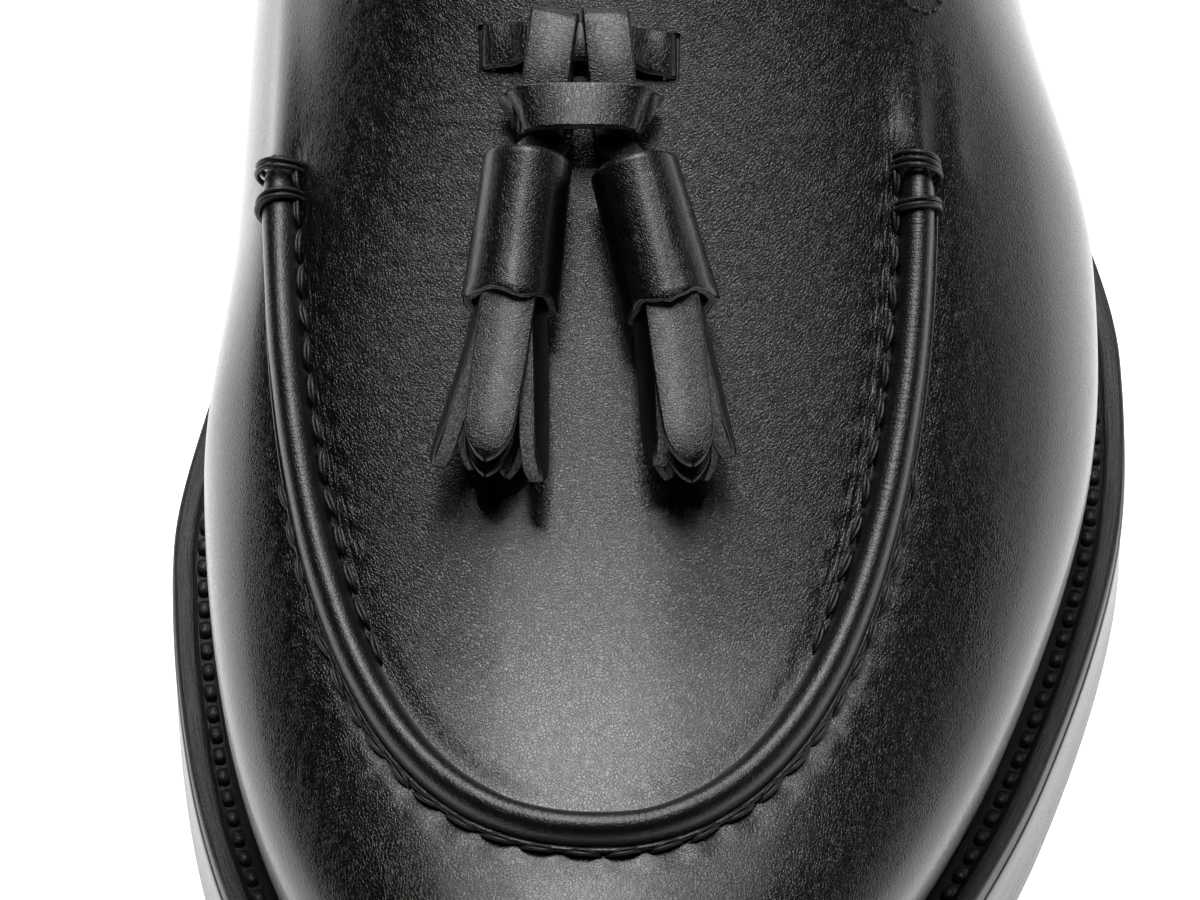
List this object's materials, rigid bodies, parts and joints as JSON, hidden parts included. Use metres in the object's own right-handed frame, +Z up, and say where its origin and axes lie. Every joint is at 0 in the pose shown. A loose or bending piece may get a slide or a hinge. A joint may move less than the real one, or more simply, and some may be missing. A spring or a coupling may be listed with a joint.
{
  "type": "tassel loafer",
  "caption": "Left slip-on leather loafer with a piped apron seam, a lace bar with rolled tassels, a stitched welt, a thick sole and a low block heel.",
  "frame": {"origin": "centre of the bounding box in plan, on the floor that the shoe stands on", "axes": "+Z up, +Y from toe to heel along the shoe, +X to the outer (lateral) side of the left shoe"},
  "size_m": [0.1106, 0.3, 0.0898],
  "materials": {
    "upper_leather": "smooth black calf with a fine grain and a soft polish",
    "lace_leather": "black leather strip, semi-gloss face with matt cut edges",
    "welt": "black burnished leather strip",
    "sole_edge": "black trimmed and waxed edge with fine trim lines",
    "heel_rubber": "matt black rubber",
    "lining": "matt black lining leather"
  },
  "bodies": {
    "root": {"outsole": "sole_edge", "welt": "welt", "heel_block": "sole_edge", "heel_tip": "heel_rubber", "insole": "lining", "upper": "upper_leather", "apron_piping": "upper_leather", "vamp_strap": "lace_leather", "loop_medial": "lace_leather", "loop_lateral": "lace_leather", "tie_band": "lace_leather", "tassel_medial": "lace_leather", "tassel_lateral": "lace_leather"}
  },
  "joints": []
}
